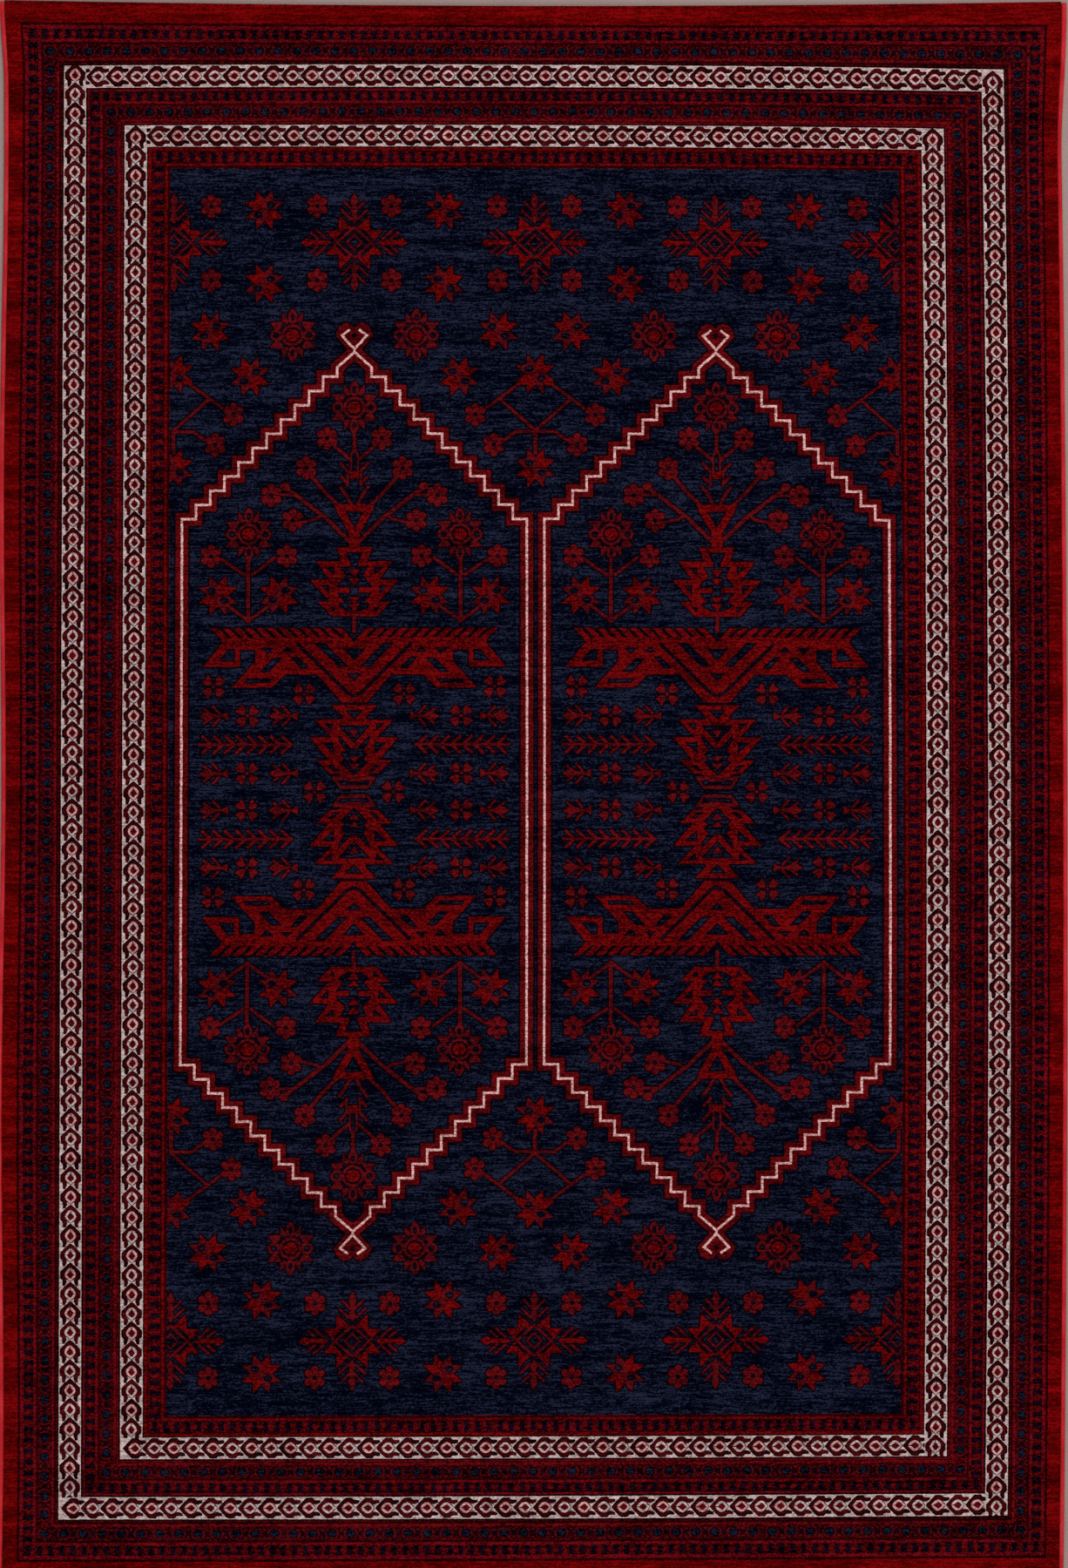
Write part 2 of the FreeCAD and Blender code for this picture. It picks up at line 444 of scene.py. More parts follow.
# Each motif is drawn about its own middle, in mm, with Y up
def star(flip_x=1):
    """Eight points: two opposite pairs are bright, the other two are open in the middle."""
    rim = []
    for i in range(8):
        tip = math.radians(22.5 + 45 * i)
        notch = math.radians(45 * (i + 1))
        deep = 23.0 if i % 2 == 0 else 19.5
        rim.append((38.5 * math.cos(tip), 38.5 * math.sin(tip)))
        rim.append((deep * math.cos(notch), deep * math.sin(notch)))
    bright = [(0, 19.5), (-14.5, 35.5), (-16.5, 16.5), (-35.5, 14.5), (-19.5, 0), (-7.5, 1), (-5, 8)]
    cut = [(-1.5, 20.5), (-7.5, 7.5), (-6.5, 0), (-20.5, -1.5)]
    shapes = [("thin", rim), ("gap", disc((12, 9), 8.5, 6.5)), ("gap", disc((-12, -9), 8.5, 6.5))]
    for turn in (1, -1):
        shapes += [
            ("gap", [(x * turn, y * turn) for x, y in stroke(cut, 2.0)]),
            ("bright", [(x * turn, y * turn) for x, y in bright]),
        ]
    return placed(shapes, flip=(flip_x, 1))


def flower():
    """Six round petals round a small eye."""
    shapes = [("petal", disc((0, 0), 12.5))]
    for x, y in ((0, 15), (12, 8), (12, -8), (0, -15), (-12, -8), (-12, 8)):
        shapes += [
            line("gap", 1.4, (x * 0.45 - y * 0.26, y * 0.45 + x * 0.26),
                (x * 0.8 - y * 0.6, y * 0.8 + x * 0.6)),
            ("petal", disc((x, y), 6.8, 6.8, 10)),
        ]
    shapes.append(("gap", disc((0, 0), 4.6, 4.6, 10)))
    return shapes


def blossom():
    """Four two-pointed petals set cornerwise round a small lozenge."""
    petal = [(3.5, 4), (5, 14.5), (11, 21.5), (14.5, 14.5), (22, 9.5), (16.5, 4), (8, 2.5)]
    heart = [(0, 3.5), (3.5, 0), (0, -3.5), (-3.5, 0)]
    return fourfold([("petal", petal)]) + [("thin", heart)]


def fish():
    """A small barbed arrow with its tip at the origin, pointing away from X."""
    shapes = [("petal", [(0, 0), (10, 6.5), (18, 6.5), (32.5, 2.5), (42.5, 1.5), (54, 8), (54, -8),
            (42.5, -1.5), (32.5, -2.5), (18, -6.5), (10, -6.5)])]
    barbs = ([(8, 14.5), (21.5, 4)], [(24.5, 19.5), (39, 4)])
    for barb in barbs:
        for way in (1, -1):
            shapes.append(line("petal", 4.2, *[(x, y * way) for x, y in barb]))
    return shapes


def comb_leaf():
    """A long leaf of eight chevrons on one rib."""
    shapes = [line("petal", 4.6, (0, 0), (178, 0))]
    for k in range(8):
        root = 6.5 + 21.3 * k
        for way in (1, -1):
            shapes.append(line("petal", 5.2, (root, 16.5 * way), (root + 16.5, 1.5 * way)))
    return shapes


def snowflake():
    """A stepped lozenge with spearheads on its four arms."""
    quarter = [
        ("gap", [(0, 0), (0, 23), (5, 26), (28.5, 50.5), (29.5, 23), (53, 22), (35, 0)]),
        ("bright", [(28.5, 50.5), (29.5, 23.5), (23, 19.5), (14.5, 23), (5, 27)]),
        ("bright", [(53, 22), (30, 23), (23.5, 19), (35, 1)]),
        ("gap", [(12.5, 23.5), (32, 3.5), (36, 6.5), (16.5, 27)]),
        ("thin", [(0, 25.5), (0, 31), (5, 28.5), (32.5, 2), (36, 0), (29.5, 0)]),
        ("thin", [(0, 11.5), (0, 16.5), (16.5, 0), (11.5, 0)]),
        ("bright", [(43.5, 0), (50.5, 4), (80, 4), (88.5, 7.5), (93, 6), (100.5, 0)]),
        ("thin", [(0, 34.5), (6, 46), (6, 50.5), (4, 55.5), (4, 68.5), (7, 78.5), (5.5, 83.5),
            (0, 92.5)]),
    ]
    barbs = ([(52.5, 6.5), (73, 24.5)], [(68.5, 6.5), (84, 19.5)],
             [(2.5, 59), (20.5, 77)], [(5.5, 42.5), (25.5, 62)])
    for barb in barbs:
        quarter.append(line("thin", 4.2, *barb))
    return fourfold(quarter)


def rosette():
    """A looped flower round a bright lozenge."""
    quarter = [
        ("thin", disc((30.5, 0), 12, 11)),
        ("thin", [(0, 49), (3.5, 47.5), (7.5, 41), (8.5, 34.5), (6, 24.5), (0, 19.5)]),
        ("thin", [(6.5, 26), (19, 42.5), (19.5, 28), (11.5, 21.5)]),
        ("thin", [(42.5, 23.5), (16.5, 25), (22, 14.5), (29.5, 7.5)]),
        ("gap", disc((31, 0), 6, 6)),
        ("gap", disc((0, 33.5), 4, 7)),
    ]
    core = [
        ("thin", disc((0, 0), 21, 20.5)),
        ("gap", disc((0, 0), 16, 15.5)),
        ("bright", [(13.5, 0), (10, 6.5), (5, 11), (-5, 11), (-10, 6.5), (-13.5, 0), (-10, -6.5),
            (-5, -11), (5, -11), (10, -6.5)]),
    ]
    return fourfold(quarter) + core


def branch():
    """What grows at the sides of the line between two medallions; X from that line, Y from the middle."""
    shapes = [
        line("thin", 5.4, (29.5, 765), (93, 718)),
        *placed(flower(), at=(113, 706.5)),
        line("thin", 5.4, (0, 677), (62, 731), (68.5, 737.5)),
        line("thin", 5.4, (0, 674.5), (37.5, 674.5), (60.5, 657.5)),
        *placed(flower(), at=(78.5, 650)),
        line("thin", 7.0, (0, 678.5), (0, 632.5)),
        ("bright", disc((24.5, 768.5), 10, 7)),
    ]
    return shapes


def axis_star():
    """A star whose four side lobes are all bright."""
    return star() + star(-1)


def medallion_outline():
    """The right half of the stepped outline, from the side's middle over the shoulder to the tip."""
    x = MEDALLION_HALF_WIDTH
    y = SHOULDER_HEIGHT
    points = [(x, 0.0), (x, y)]
    for k in range(STEP_COUNT):
        x -= STEP_RUN
        points.append((x, y))
        if k < STEP_COUNT - 1:
            y += STEP_RISE
            points.append((x, y))
    return points + [(x, y + NECK_HEIGHT), (0.0, y + TIP_HEIGHT)]


def tree():
    """The upper part of a medallion, on its axis: rosette, flowers, and the pole tree below."""
    shapes = placed(rosette(), at=(0, 719.5))
    half = [
        line("thin", 6.6, (0, 682), (0, 634.5)),
        line("thin", 3.6, (0, 642.5), (6.5, 631), (6.5, 597)),
        ("bright", [(9, 600), (0, 600), (0, 587), (8, 587)]),
        *placed(flower(), at=(51.5, 662)),
        line("thin", 5.6, (38.5, 647.5), (7.5, 621.5)),
        line("thin", 5.2, (27, 616.5), (10.5, 598.5)),
        line("thin", 5.2, (25.5, 590), (10.5, 575.5)),
        line("thin", 6.0, (27, 572), (15.5, 556), (4, 534.5)),
        line("thin", 4.2, (12.5, 600), (12.5, 572)),
        ("bright", [(38.5, 538), (0, 538), (0, 525), (30, 525)]),
        *placed(flower(), at=(90.5, 606.5)),
        line("thin", 6.4, (82.5, 593.5), (56.5, 562.5), (30, 536.5)),
        line("bright", 13.0, (30, 533), (0, 480.5)),
        line("thin", 7.0, (126.5, 567.5), (108.5, 554.5), (53, 512), (7.5, 467.5)),
        ("petal", disc((130, 572), 9, 7)),
        *placed(flower(), at=(156, 555)),
        line("thin", 5.0, (141.5, 556), (112, 556)),
        *placed(flower(), at=(116, 508.5)),
        line("thin", 5.0, (100.5, 504.5), (71, 511), (61.5, 518.5)),
        ("bright", [(10, 492), (0, 492), (0, 456), (10, 456)]),
        ("bright", [(33.5, 458), (0, 458), (0, 449), (30, 449)]),
        ("bright", [(32.5, 456), (17, 451.5), (7.5, 423.5), (20.5, 422)]),
        ("bright", [(71, 431.5), (7.5, 431.5), (7.5, 422), (27, 422), (16.5, 404), (30, 391),
            (34.5, 382.5), (9, 382.5), (9, 373), (33.5, 373), (19.5, 355), (29.5, 352.5), (26, 345),
            (10.5, 337), (0, 337), (0, 328.5), (41.5, 328.5), (68, 355.5), (45, 355.5),
            (82.5, 396.5), (46, 396.5)]),
        ("gap", [(57, 421), (37, 421), (37, 405.5)]),
        ("gap", [(64.5, 387.5), (46.5, 387.5), (46.5, 369.5)]),
        ("gap", [(48, 346.5), (35, 346.5), (37.5, 337), (41, 337)]),
    ]
    for top, low in ((415.5, 402), (399, 386), (364.5, 352.5), (351.5, 337.5)):
        half.append(("bright", [(10.5, top), (0, top), (0, low)]))
    half.append(line("thin", 7.0, (0, 335), (0, 297.5)))
    return shapes + mirrored(half)


def side_spray():
    """The rosette on a stem between the medallion's axis and its side, in the medallion's frame."""
    shapes = placed(rosette(), at=(198.5, 482.5))
    for x, y in ((269, 441.5), (126.5, 441.5)):
        shapes += placed(flower(), at=(x, y))
    shapes += [
        line("thin", 7.0, (199.5, 438), (199.5, 317)),
        line("thin", 5.6, (205, 405.5), (251, 436.5)),
        line("thin", 5.6, (193.5, 405.5), (148, 440)),
        line("thin", 5.6, (241, 351.5), (199.5, 320.5), (156, 351.5)),
        *placed(star(), at=(256, 368)),
        *placed(star(-1), at=(141.5, 368)),
    ]
    return shapes


def wing():
    """The comb-topped wing on one side of the medallion's axis."""
    shapes = [("bright", [(249.5, 288), (10.5, 289.5), (0, 279.5), (0, 167.5), (23.5, 167.5),
            (69.5, 220), (130, 220), (154.5, 195.5), (229.5, 195.5), (203.5, 224), (185.5, 243.5),
            (185.5, 266.5), (215, 266.5), (215, 234.5), (283.5, 234.5), (247.5, 279.5)])]
    teeth = [(269, 306.5), (256, 306.5), (235.5, 286), (248.5, 286)]
    gaps = [[(256, 245), (236.5, 268), (224, 268), (224, 245)],
            [(176, 270.5), (149.5, 270.5), (162.5, 256.5)],
            [(138, 261.5), (113.5, 261.5), (126, 273)],
            [(179, 224), (153, 251), (133.5, 251), (159.5, 224)],
            [(120, 253.5), (107, 253.5), (86.5, 235.5), (86.5, 230.5), (100.5, 230.5)],
            [(203.5, 212.5), (153, 212.5), (161, 203.5), (207, 203.5)],
            [(76, 279.5), (55, 279.5), (10.5, 234.5), (30, 234)],
            [(22, 269), (0, 269), (0, 244.5)],
            [(15.5, 222.5), (0, 222.5), (0, 207)]]
    stripe = [(107, 278), (12.5, 185), (0, 179)]
    pitch = 21.1
    for k in range(12):
        shapes.append(("bright", [(x - pitch * k, y) for x, y in teeth]))
    shapes += [("gap", g) for g in gaps]
    shapes.append(line("gap", 7.0, *stripe))
    return shapes


def column():
    """The stepped column at the heart of a medallion: half its width, above the middle."""
    shapes = [
        ("bright", [(41.5, 162), (0, 162), (0, 125), (63, 125), (73, 135), (21.5, 135), (21.5, 140.5)]),
        ("gap", [(18, 153.5), (0, 153.5), (0, 135)]),
        ("bright", [(73, 135), (37, 135), (38.5, 99)]),
        ("gap", [(58, 128.5), (38.5, 128.5), (38.5, 111)]),
        ("bright", [(41.5, 113), (40, 126), (28.5, 126), (30, 99.5), (16.5, 77), (26, 71),
            (19, 60.5), (27, 55.5), (0, 29.5), (0, 19.5), (14, 19.5), (30, 34.5), (45, 34.5),
            (69.5, 59), (46, 59), (82.5, 101.5), (41.5, 101.5)]),
        line("bright", 10.5, (35, 121), (0, 83.5)),
        ("gap", [(62, 93), (37.5, 93), (37.5, 70.5)]),
        ("gap", [(50.5, 50.5), (39, 50.5), (27, 38.5), (37, 37.5)]),
        line("gap", 4.4, (28.5, 99.5), (17, 80)),
        ("thin", [(41.5, 28.5), (0, 28.5), (0, 21.5), (33.5, 21.5)]),
        ("thin", [(27, 11.5), (0, 11.5), (0, 5.5), (25.5, 5.5), (40, 24.5), (30, 24.5)]),
        ("petal", [(9, 115.5), (0, 115.5), (0, 102)]),
        ("petal", [(10.5, 66), (0, 66), (0, 56.5)]),
        ("petal", [(10.5, 52.5), (0, 52.5), (0, 41.5)]),
    ]
    return shapes


def small_flowers():
    """Blossoms, barbed arrows and comb leaves beside the column."""
    shapes = []
    for x, y in ((264, 197), (94, 183), (200.5, 142), (201, 34.5)):
        shapes += placed(blossom(), at=(x, y))
    for x, y in ((236.5, 142), (105.5, 142), (236.5, 34.5), (105.5, 34.5)):
        shapes += placed(fish(), at=(x + 54.0, y), flip=(-1, 1))
    shapes += placed(comb_leaf(), at=(292, 88.5), flip=(-1, 1))
    return shapes


def hook():
    """The curled top of a medallion's outline: band and ivory line, half of it."""
    band = [(0, 868), (6, 875.5), (16, 878), (27.5, 871.5), (35.5, 855), (14.5, 830.5), (11, 821),
            (0, 817.5)]
    eye = disc((0, 855), 5, 5)
    curl = [(8.5, 865.5), (23.5, 854.5), (0, 829), (0, 822.5)]
    return band, eye, curl


# ---- the field's drawing
def field_drawing():
    shapes = []
    for axis in (-EDGE_AXIS_X, 0.0, EDGE_AXIS_X):
        for way in (1, -1):
            shapes += placed(snowflake(), at=(axis, way * 1028.5))
            for height in (783.0, 606.5):
                shapes += placed(axis_star(), at=(axis, way * height))
    for axis in (-MEDALLION_X, MEDALLION_X):
        for way in (1, -1):
            shapes += placed(snowflake(), at=(axis, way * 1028.5))
    cell = branch()
    for x in (70.5, 270.5):
        for y in (1097.0, 958.0):
            cell += placed(flower(), at=(x, y))
    for x, y in ((170.5, 1089.5), (170.5, 951.5), (69.0, 863.0), (144.0, 778.0)):
        cell += placed(star(), at=(x, y))
    cell += placed(rosette(), at=(224.0, 855.0))
    for axis, side in ((-EDGE_AXIS_X, 1), (0.0, -1), (0.0, 1), (EDGE_AXIS_X, -1)):
        for way in (1, -1):
            shapes += placed(cell, at=(axis, 0.0), flip=(side, way))
    quarter = side_spray() + wing() + small_flowers()
    half = mirrored(quarter) + tree() + mirrored(column())
    middle = placed(blossom(), at=(73.5, 0.0))
    for axis in (-MEDALLION_X, MEDALLION_X):
        for way in (1, -1):
            shapes += placed(half, at=(axis, 0.0), flip=(1, way))
        shapes += placed(mirrored(middle), at=(axis, 0.0))
    return shapes


def medallion_drawing(axis):
    outline = medallion_outline()
    band, eye, curl = hook()
    route = [(outline[0][0], -1.0)] + outline[1:]
    shapes = [line("band", OUTLINE_BAND_WIDTH, *route), ("band", band)]
    ivory = [line("ivory", OUTLINE_LINE_WIDTH, *route), line("ivory", OUTLINE_LINE_WIDTH, *curl)]
    half = mirrored(shapes) + [("gap", eye)] + mirrored(ivory)
    return placed(half, at=(axis, 0.0)) + placed(half, at=(axis, 0.0), flip=(1, -1))


# ---- the border's drawings
CROSS_PITCH = 20.8
DOT_PITCH = 36.25
CORNER_ROOM = 60.0         # more than a link, so that a corner is cleared whole


def closed(upper):
    """An outline from its upper half, the rest being that half turned over."""
    return upper + [(x, -y) for x, y in upper[:0:-1]]


def link(dark):
    """One link of the chain in the ivory bands, its point at the origin and its arms towards +X."""
    outline = closed([(0, 0), (9, 10.2), (17.5, 18.3), (28.5, 18.3), (31.5, 14.5), (34.5, 13.8),
                      (42.5, 14), (42.5, 10.5), (35, 7.5), (29, 8.5), (33.5, 2)])
    inset = closed([(2.2, 0), (18.2, 16), (27.5, 16), (30.5, 12), (34.5, 11), (34.5, 8.5), (29, 8.5),
                    (33.5, 2)])
    hoop = closed([(9.4, 0), (12.6, 5.2), (17.2, 9.0), (22.5, 10.4), (27.3, 8.2), (34, 1)])
    core = [(9.5, 0.6), (14.5, 0.9), (17.5, 3.5), (22.5, 6.8), (27, 3.5), (30, 0)]
    heart = closed(core) + [(9.5, -0.6)]
    if dark:
        return [("black", outline), ("maroon", inset), ("ring_warm", hoop), ("heart", heart)]
    return [("garnet", outline), ("ring_cool", hoop), ("heart", heart)]


def turned_down(shapes):
    """The same drawing with its arms towards -Y."""
    return [(tone, [(y, -x) for x, y in pts]) for tone, pts in shapes]


def block(x0, x1, y0, y1):
    return [("gap", [(x0, y0), (x1, y0), (x1, y1), (x0, y1)])]


def chain_drawing(outer, inner, row, sides):
    """Links round one ivory band: points to the left along the ends, upwards along the sides.

    row is the pitch along the ends and how far the first link stands in from the left edge.
    sides gives the same down the left and the right side, from the top edge, and which of the
    two kinds of link comes first.
    """
    row_pitch, across_start = row
    across = (outer[1] + inner[1]) / 2
    down = (outer[0] + inner[0]) / 2
    links = (link(True), link(False))
    rows = ([], [])
    for k in range(int(2 * outer[0] / row_pitch) + 3):
        x = -outer[0] + across_start + k * row_pitch
        for row_shapes, way in zip(rows, (1, -1)):
            row_shapes += placed(links[k % 2], at=(x, way * across))
    columns = ([], [])
    for column_shapes, way, (pitch, start, odd) in zip(columns, (-1, 1), sides):
        for k in range(int(2 * outer[1] / pitch) + 3):
            y = outer[1] - start - k * pitch
            column_shapes += placed(turned_down(links[(k + odd) % 2]), at=(way * down, y))
    # The sides run over the top row, the bottom row over the left side, and the right side
    # over the end of the bottom row
    below = -outer[1] - CORNER_ROOM
    shapes = rows[0]
    shapes += block(-outer[0], -inner[0], -outer[1], outer[1])
    shapes += block(inner[0], outer[0], -outer[1], outer[1])
    shapes += columns[0] + columns[1]
    shapes += block(-outer[0], inner[0], below, -inner[1]) + rows[1]
    shapes += block(inner[0], outer[0] + CORNER_ROOM, below, -inner[1])
    corner = [s for s in columns[1] if max(y for _, y in s[1]) < -inner[1] + 40]
    return shapes + corner


def along_sides(shapes, rect, pitch):
    """Repeats a drawing along the four sides of a rectangle."""
    out = []
    across = round(2 * rect[0] / pitch)
    for k in range(across + 1):
        x = -rect[0] + 2 * rect[0] * k / across
        for way in (1, -1):
            out += placed(shapes, at=(x, way * rect[1]))
    upright = [(tone, [(y, x) for x, y in pts]) for tone, pts in shapes]
    down = round(2 * rect[1] / pitch)
    for k in range(1, down):
        y = -rect[1] + 2 * rect[1] * k / down
        for way in (1, -1):
            out += placed(upright, at=(way * rect[0], y))
    return out


def lozenge(x, y, wide, high):
    return [(x - wide, y), (x, y - high), (x + wide, y), (x, y + high)]


def cross():
    """A navy hourglass with a red lozenge half a pitch further on."""
    right = [(4.5, 9), (4.5, 4.5), (2.8, 0), (4.5, -4.5), (4.5, -9)]
    glass = right + [(-x, -y) for x, y in right]
    return [("navy", glass), ("red", lozenge(CROSS_PITCH / 2, 0, 4.6, 5))]


def spot():
    """A round navy spot between red crescents, with a dark lozenge half a pitch further on."""
    shapes = [("navy", disc((0, 0), 6.4, 6.4, 12))]
    half = DOT_PITCH / 2
    for way in (1, -1):
        crescent = [(way * 11.5 * math.cos(a), 11.5 * math.sin(a)) for a in np.linspace(-0.95, 0.95, 7)]
        shapes += [line("red", 2.6, *crescent), ("red", lozenge(half, way * 7.5, 4, 2.6))]
    return shapes + [("thread", lozenge(half, 0, 3, 3.6))]


# ---- materials
def linear(colour):
    """An 8-bit display colour as linear light."""
    out = []
    for c in colour:
        c = c / 255
        out.append(c / 12.92 if c <= 0.04045 else ((c + 0.055) / 1.055) ** 2.4)
    return out


LIGHT = 0.80               # how bright a white sheet on the floor comes out, in linear light


def shade(colour):
    return [min(c / LIGHT, 1.0) for c in linear(colour)]


class Nodes:
    """Short calls for building one material."""

    def __init__(self, name):
        self.material = bpy.data.materials.new(name)
        self.material.use_nodes = True
        self.tree = self.material.node_tree
        self.tree.nodes.clear()
        self.place = self.make("ShaderNodeTexCoord").outputs["Object"]

    def make(self, kind, inputs=(), **settings):
        """A node; each of its inputs is a plain value or another node's output."""
        node = self.tree.nodes.new(kind)
        for key, value in settings.items():
            setattr(node, key, value)
        for key, value in dict(inputs).items():
            if isinstance(value, bpy.types.NodeSocket):
                self.tree.links.new(value, node.inputs[key])
            else:
                node.inputs[key].default_value = value
        return node

    def math(self, operation, a, b=0.0, clamp=False):
        return self.make("ShaderNodeMath", {0: a, 1: b}, operation=operation, use_clamp=clamp).outputs[0]

    def centred(self, value, amount):
        """A pattern's swing to either side of its middle, times an amount."""
        return self.math("MULTIPLY", self.math("SUBTRACT", value, 0.5), amount)

    def weighed(self, a, share_a, b, share_b, clamp=False):
        first = self.math("MULTIPLY", a, share_a)
        return self.math("ADD", first, self.math("MULTIPLY", b, share_b), clamp)

    def noise(self, scale, detail, rough):
        place = self.make("ShaderNodeMapping", {"Vector": self.place, "Scale": scale})
        node = self.make("ShaderNodeTexNoise", {"Vector": place.outputs[0], "Scale": 1.0, "Detail": detail,
                                                "Roughness": rough})
        return node.outputs["Fac"]

    def knots(self, pitch):
        """A random value for each tuft."""
        snap = self.make("ShaderNodeVectorMath", {0: self.place, 1: pitch}, operation="SNAP")
        white = self.make("ShaderNodeTexWhiteNoise", {"Vector": snap.outputs[0]}, noise_dimensions="3D")
        return white.outputs["Value"]

    def ramp(self, value, stops):
        node = self.make("ShaderNodeValToRGB", {0: value})
        elements = node.color_ramp.elements
        while len(elements) < len(stops):
            elements.new(0.5)
        for element, (position, colour) in zip(elements, stops):
            element.position = position
            element.color = (*shade(colour), 1.0)
        return node.outputs["Color"]

    def bump(self, height, strength, distance):
        node = self.make("ShaderNodeBump", {"Height": height, "Strength": strength, "Distance": distance})
        return node.outputs["Normal"]

    def finish(self, colour, normal, roughness=0.95, specular=0.012, sheen=0.02, tint=(1, 1, 1)):
        shader = self.make("ShaderNodeBsdfPrincipled", {
            "Base Color": colour, "Normal": normal, "Roughness": roughness, "Specular IOR Level": specular,
            "Sheen Weight": sheen, "Sheen Roughness": 0.6, "Sheen Tint": (*tint, 1.0)})
        self.make("ShaderNodeOutputMaterial", {"Surface": shader.outputs[0]})
        return self.material


def paled(colour):
    return [c ** 0.4 for c in shade(colour)]


def pile(name, dark, mean, light, streak=0.5, knot=0.5, nap_shading=0.55, band=0.45):
    """Cut pile: tufts in rows across the rug, each row's yarn a little different from the next; broad
    patches are painted sheen and shade of the nap, and the lightest flecks are partly painted glints on
    the fibres.
    """
    n = Nodes(name)
    rows = n.noise((30.0, 330.0, 30.0), 1.5, 0.6)
    dashes = n.noise((170.0, 430.0, 40.0), 1.0, 0.6)
    tufts = n.knots((0.0026, 0.0018, 1.0))
    # Broad cloudy patches of painted sheen and shade, where the nap lies different ways
    nap_shade_patches = n.noise((8.0, 15.0, 1.0), 2.0, 0.55)
    bands = n.noise((1.5, 42.0, 1.0), 2.0, 0.6)
    value = n.centred(rows, streak * 3.0)
    for pattern, amount in ((dashes, knot * 3.2), (tufts, knot * 1.4), (nap_shade_patches, nap_shading * 1.6),
                            (bands, band * 1.6)):
        value = n.math("ADD", value, n.centred(pattern, amount))
    value = n.math("ADD", value, 0.5, clamp=True)
    colour = n.ramp(value, ((0.06, dark), (0.5, mean), (0.94, light)))
    fibres = n.noise((900.0, 900.0, 120.0), 2.0, 0.6)
    height = n.math("ADD", n.weighed(tufts, 0.35, rows, 0.9), n.math("MULTIPLY", fibres, 0.4))
    return n.finish(colour, n.bump(height, 0.5, 0.0008), tint=paled(light))


def woven(name, light, dark, pitch, sheen=0.02):
    """Plain weave: yarns over and under one another at the given pitch in metres."""
    n = Nodes(name)
    split = n.make("ShaderNodeSeparateXYZ", {0: n.place})
    waves = [n.math("SINE", n.math("MULTIPLY", split.outputs[i], math.pi / pitch)) for i in (0, 1)]
    weave = n.math("ADD", n.math("MULTIPLY", n.math("MULTIPLY", *waves), 0.5), 0.5)
    slub = n.noise((60.0, 300.0, 60.0), 3.0, 0.6)
    value = n.weighed(weave, 0.6, slub, 0.5, clamp=True)
    colour = n.ramp(value, ((0.1, dark), (0.9, light)))
    return n.finish(colour, n.bump(value, 0.6, 0.0008), roughness=0.9, specular=0.15, sheen=sheen)


def yarn_material(name, dark, mean, light):
    """Twisted yarn, with slow changes of colour along it."""
    n = Nodes(name)
    strands = n.noise((700.0, 700.0, 700.0), 2.0, 0.55)
    drift = n.noise((20.0, 14.0, 20.0), 3.0, 0.6)
    value = n.math("SUBTRACT", n.weighed(strands, 0.75, drift, 0.55), 0.15, clamp=True)
    colour = n.ramp(value, ((0.15, dark), (0.5, mean), (0.85, light)))
    normal = n.bump(strands, 0.5, 0.0005)
    return n.finish(colour, normal, roughness=0.8, specular=0.1, sheen=0.08, tint=paled(light))


